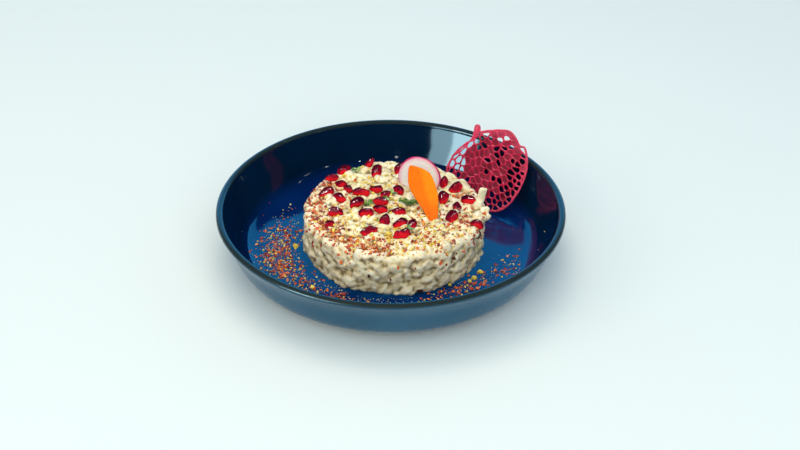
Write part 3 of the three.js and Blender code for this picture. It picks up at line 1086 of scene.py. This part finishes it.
def chipShape(order, flatness, roughness):  # one small chip, modelled once
    deselectAll()
    bpy.ops.mesh.primitive_ico_sphere_add(subdivisions=1, radius=0.5)
    piece = bpy.context.object
    editAll(piece)
    bpy.ops.transform.resize(value=(1, 0.8, flatness), center_override=(0, 0, 0))
    leaveEdit()
    points, faces = takeShape(piece)
    for i, p in enumerate(points):
        points[i] += np.array(noise.noise_vector(Vector(p) * 3 + Vector((order * 5, 1, 2)))) * roughness
    return points, faces


def dropFrom(surface, x, y):
    return surface.ray_cast(Vector((x, y, 80)) * mm, Vector((0, 0, -1)))[:2]


def fallOnDip(x, y):  # where something dropped at x, y comes to rest on the dip
    spot, normal = dropFrom(dipSurface, x, y)
    return (spot, normal) if spot and spot.z > 20 * mm else None


def fallInBowl(x, y):
    if dropFrom(dipSurface, x, y)[0]:
        return None
    spot, normal = dropFrom(bowlSurface, x, y)
    return (spot, normal) if spot and spot.z < 24 * mm else None


def pressOnSide(turn, height):  # a spot on the side of the dip
    out = heading(turn)
    start = Vector((*dip["centre"], height)) * mm + out * 90 * mm
    spot, normal = dipSurface.ray_cast(start, -out)[:2]
    return (spot, normal) if spot else None


def tintedLook(name, roughness, *tints):  # the tints are the stops of a ramp
    f = MaterialMaker(name)
    f.translucent(0.1, 0.001)
    patch = f.grain(0.0011, 2)
    colour = f.ramp(f.attribute("tint"), *tints)
    colour = f.mix(f.ramp(patch, (0.35, 0.0), (0.75, 0.35)), colour, tints[0][1])
    return f.complete(colour, roughness, f.bump(patch, 0.0002, 0.4))


class Heap:  # many copies of small shapes, gathered into one piece
    def __init__(self):
        self.points, self.faces, self.tints = [], [], []

    def add(self, placed, faces, tint):
        start = len(self.points)
        self.points.extend(placed.tolist())
        self.faces.extend([tuple(i + start for i in face) for face in faces])
        self.tints.extend([tint] * len(placed))

    def complete(self, name, slotName, look):
        piece = meshPiece(name, self.points, self.faces)
        saveAttribute(piece, "tint", self.tints)
        finishPiece(piece, name, slotName, tintedLook(*look))


def strewPiece(name, slotName, look, shapes, drops):  # drops are (place, size, tint, sink)
    heap = Heap()
    for drop, size, tint, sink in drops:
        shape, faces = shapes[rng.randrange(len(shapes))]
        tilt = Vector((rng.uniform(-1, 1), rng.uniform(-1, 1), rng.uniform(0.2, 1)))
        spin = Matrix.Rotation(rng.uniform(0, 6.28), 3, "Z")
        if drop is None:
            continue
        spot, normal = drop
        turn = normal.lerp(tilt, 0.35).to_track_quat("Z", "Y").to_matrix() @ spin
        lift = spot + normal * size * sink * mm
        heap.add(shape @ np.array(turn).T * size * mm + np.array(lift), faces, tint)
    heap.complete(name, slotName, look)


def roundSpot(fromTurn, toTurn, middle, spread):  # a random place in a ring sector of the dip's top
    turn = math.radians(rng.uniform(fromTurn, toTurn))
    reach = min(abs(rng.gauss(middle, spread)), 58)
    return dip["centre"][0] + reach * math.cos(turn), dip["centre"][1] + reach * math.sin(turn)


def patchSpot(x, y, alongX, alongY, width):  # a random place in an oval patch of the bowl
    t, s = rng.gauss(0, 1), rng.gauss(0, 1)
    length = math.hypot(alongX, alongY)
    return x + alongX * t - alongY / length * width * s, y + alongY * t + alongX / length * width * s


def floorDrop():
    share = rng.random() * sum(patch[5] for patch in sprinkles["patches"])
    for *patch, part in sprinkles["patches"]:
        share -= part
        if share <= 0:
            break
    return fallInBowl(*patchSpot(*patch))


def randomSize(small, more, power):  # a high power makes most of them small
    return small + more * rng.random() ** power


def dipDrops(bands, small, more, power, sink):
    drops = []
    for *band, count in bands:
        for _ in range(count):
            size = randomSize(small, more, power)
            drops.append((fallOnDip(*roundSpot(*band)), size, rng.random(), sink))
    return drops


def floorDrops(count, small, more, power, sink, tintPower=1):
    return [
        (floorDrop(), randomSize(small, more, power), rng.random() ** tintPower, sink) for _ in range(count)
    ]


def makeSprinkles():
    flakes = [chipShape(k, flatness=0.28, roughness=0.34) for k in range(7)]
    lumps = [chipShape(k + 9, flatness=0.85, roughness=0.24) for k in range(7)]

    chilli = dipDrops(sprinkles["chilliBands"], small=0.7, more=2.3, power=2.2, sink=0.12)
    chilli += floorDrops(900, small=0.6, more=2.4, power=2.4, sink=0.2, tintPower=1.3)
    for spot in sprinkles["largeChilli"]:
        chilli.append((fallInBowl(*spot), rng.uniform(2.4, 3.2), rng.uniform(0.3, 0.9), 0.2))
    chilli += [(pressOnSide(*spot), 1.5, 0.55, 0.1) for spot in sprinkles["sideChilli"]]
    strewPiece("chilli_flakes", "chilli", sprinkles["chilliLook"], flakes, chilli)

    crumbs = dipDrops(sprinkles["crumbBands"], small=0.7, more=1.7, power=2.4, sink=0.2)
    crumbs += [(fallOnDip(x, y), size, 0.5, 0.25) for x, y, size in sprinkles["dipCrumbs"]]
    crumbs += floorDrops(420, small=0.5, more=1.3, power=2.5, sink=0.3)
    crumbs += [(fallInBowl(x, y), size, 0.5, 0.35) for x, y, size in sprinkles["floorCrumbs"]]
    strewPiece("yellow_crumbs", "crumb", sprinkles["crumbLook"], lumps, crumbs)

    grains = floorDrops(420, small=0.3, more=0.3, power=1, sink=0.3)
    for _ in range(170):  # along the front of the dip
        spot = rng.gauss(-2, 26), rng.gauss(-63, 3.5)
        grains.append((fallInBowl(*spot), rng.uniform(0.3, 0.55), rng.random(), 0.3))
    strewPiece("pale_grains", "crumb", sprinkles["grainLook"], lumps[:2], grains)

    specks = []
    for _ in range(140):
        specks.append((fallOnDip(*roundSpot(0, 360, 34, 15)), rng.uniform(0.4, 0.9), rng.random(), 0.2))
    strewPiece("pepper_specks", "chilli", sprinkles["pepperLook"], lumps[:3], specks)

    skins = []
    for turn, height, size in sprinkles["skinBits"]:
        skins.append((pressOnSide(turn, height), size, rng.random(), 0.05))
    strewPiece("aubergine_skin_bits", "dip", sprinkles["skinLook"], flakes, skins)


makeSprinkles()


# thyme: small sprigs with paired leaves

thyme = {
    "leaf": (3.5, 1.75), "seed": 8,
    "look": (
        "thymeGreen", 0.45, (0.0, (0.035, 0.12, 0.012)), (0.5, (0.11, 0.29, 0.025)),
        (1.0, (0.32, 0.50, 0.09)),
    ),
    "sprigs": [  # x, y, turn, pairs of leaves, length
        (10, 4.6, 5, 7, 12), (13, 6.5, 150, 4, 7), (-2, 9.6, 30, 5, 7), (-15.5, 4.5, 12, 4, 7),
        (8.6, -30.5, 35, 4, 6), (-24, 40, 8, 3, 6),
    ],
}


def leafShape():
    deselectAll()
    bpy.ops.mesh.primitive_grid_add(x_subdivisions=4, y_subdivisions=2, size=1)
    piece = bpy.context.object
    points = readPoints(piece)
    along = points[:, 0] + 0.5
    points[:, 1] *= np.sin(np.pi * np.clip(along, 0.03, 0.97)) ** 0.8 * 1.1
    points[:, 2] = 0.25 * np.abs(points[:, 1]) - 0.25 * along**2
    points[:, 0] += 0.5
    writePoints(piece, points)
    useModifier(piece, "SOLIDIFY", thickness=0.07, offset=0)
    return takeShape(piece)


def makeThyme():
    leafRandom = random.Random(thyme["seed"])
    leaf, faces = leafShape()
    long, wide = thyme["leaf"]
    heap = Heap()
    for x, y, turn, pairs, reach in thyme["sprigs"]:
        ground = fallOnDip(x, y)
        if ground is None:
            continue
        base = ground[0] + Vector((0, 0, 0.7 * mm))
        along = heading(turn) + Vector((0, 0, 0.10))
        for pair in range(pairs):
            spot = base + along * ((pair + 0.5) / pairs - 0.5) * reach * mm
            below = fallOnDip(spot.x / mm, spot.y / mm)
            if below:
                spot.z = max(spot.z, below[0].z + 0.5 * mm)
            for side in (-1, 1):
                yaw = math.radians(turn) + side * leafRandom.uniform(0.6, 1.25)
                rise = leafRandom.uniform(0.05, 0.6)
                size = leafRandom.uniform(0.8, 1.25)
                turned = Matrix.Rotation(yaw, 3, "Z") @ Matrix.Rotation(-rise, 3, "Y")
                turned = turned @ Matrix.Rotation(leafRandom.uniform(-0.5, 0.5), 3, "X")
                scaled = leaf * (np.array([long, wide, wide]) * size * mm)
                heap.add(scaled @ np.array(turned).T + np.array(spot), faces, leafRandom.random())
    heap.complete("thyme_sprigs", "herb", thyme["look"])


makeThyme()


# floor, light and camera

studio = {
    "rim": (0, 0, 38), "distance": 800, "pitch": 32.15, "aimRight": 5.75, "aimUp": -14.7,
    "roll": 0.58, "lens": 57,
    "floor": (0.77, 0.835, 0.865), "sky": (0.515, 0.757, 1.0, 1), "skyStrength": 0.66,
    "lights": [  # name, place, size, watts, colour
        ("topLight", (-0.25, 0.45, 1.6), (1.1, 0.8), 8, (1, 0.84, 0.56)),
        ("frontFill", (0.1, -1.7, 1.0), (2.0, 1.2), 20, (1, 0.935, 0.74)),
        ("leftFill", (-1.7, -0.5, 0.9), (1.2, 1.2), 9.6, (1, 0.825, 0.5)),
        ("overFront", (0.2, -0.5, 1.8), (1.4, 1.4), 9.6, (1, 0.875, 0.6)),
    ],
    "servedMirrors": [  # what only the served pieces mirror
        ("sheen", (-0.25, 0.45, 1.6), (1.1, 0.8), 6),
        ("glintLeft", (-0.5, 0.1, 1.5), (0.30, 0.24), 15),
        ("glintRight", (0.45, 0.5, 1.5), (0.24, 0.2), 8),
    ],
    "glazeMirrors": [  # what only the glaze mirrors
        ("backGlow", (0, 2.2, 0.75), (4.0, 1.5), 54, (0.04, 0.46, 1.0)),
        ("windowNear", (-1.22, -0.89, 0.5), (0.5, 0.5), 12, (0.6, 0.9, 1)),
        ("windowWide", (-1.1, -1.03, 0.5), (0.95, 0.5), 19, (0.5, 0.85, 1)),
    ],
    "wallGlints": [(-20, 25), (-38, 23), (-64, 28), (-95, 25), (-2, 42)],  # turn and rise
}


def softbox(name, place, size, watts, colour=(1, 1, 1), towards=(0, 0, 0.02), mirroredIn=None):
    lamp = bpy.data.lights.new(name, "AREA")
    lamp.shape = "RECTANGLE"
    lamp.size, lamp.size_y = size
    lamp.energy = watts
    lamp.color = colour
    made = addObject(name, lamp)
    made.location = place
    away = Vector(towards) - Vector(place)
    made.rotation_euler = away.to_track_quat("-Z", "Y").to_euler()
    made.visible_camera = False
    made.visible_glossy = mirroredIn is not None  # a light is either light for all or a reflection for some
    made.visible_diffuse = mirroredIn is None
    if mirroredIn:
        group = bpy.data.collections.new(name + "Receivers")
        for piece in mirroredIn:
            group.objects.link(piece)
        made.light_linking.receiver_collection = group


def makeStudio():
    deselectAll()
    bpy.ops.mesh.primitive_plane_add(size=12)
    floor = bpy.context.object
    floor.name = "pale_floor"
    floor.data.materials.append(MaterialMaker("paleTable").complete(studio["floor"], 0.55, specular=0.2))
    world = bpy.data.worlds.new("paleRoom")
    bpy.context.scene.world = world
    world.use_nodes = True
    background = world.node_tree.nodes["Background"]
    background.inputs["Color"].default_value = studio["sky"]
    background.inputs["Strength"].default_value = studio["skyStrength"]
    world.cycles_visibility.glossy = False
    glaze = bpy.data.objects["glazed_bowl"]
    served = [piece for piece in bpy.data.objects if piece.type == "MESH" and piece.name not in nodes]
    served = [piece for piece in served if piece not in (floor, glaze)]
    for piece in served:  # their reflections would dull the dark glaze
        piece.visible_glossy = piece.name == "beetroot_lace"
    for light in studio["lights"]:
        softbox(*light)
    for light in studio["servedMirrors"]:
        softbox(*light, mirroredIn=served)
    for light in studio["glazeMirrors"]:
        softbox(*light, towards=(0.05, 0.08, 0.03), mirroredIn=[glaze])
    for turn, rise in studio["wallGlints"]:  # small glints low on the back wall
        softbox("glint", heading(turn, rise) * 2, (0.06, 0.012), 0.4, mirroredIn=[glaze])


def makeCamera():
    pitch = math.radians(studio["pitch"])
    back = Vector((0, -math.cos(pitch), math.sin(pitch)))
    right = Vector((1, 0, 0))
    up = back.cross(right)
    rim = Vector(studio["rim"]) * mm
    place = rim + back * studio["distance"] * mm
    aim = rim + (right * studio["aimRight"] + up * studio["aimUp"]) * mm
    look = (aim - place).to_track_quat("-Z", "Y") @ Quaternion((0, 0, 1), math.radians(studio["roll"]))
    data = bpy.data.cameras.new("view")
    data.lens = studio["lens"]
    data.sensor_width = 36
    data.clip_start = 0.01
    camera = bpy.data.objects.new("view", data)
    bpy.context.scene.collection.objects.link(camera)
    camera.location = place
    camera.rotation_euler = look.to_euler()
    bpy.context.scene.camera = camera


makeStudio()
makeCamera()
bpy.context.scene.view_settings.view_transform = "Standard"
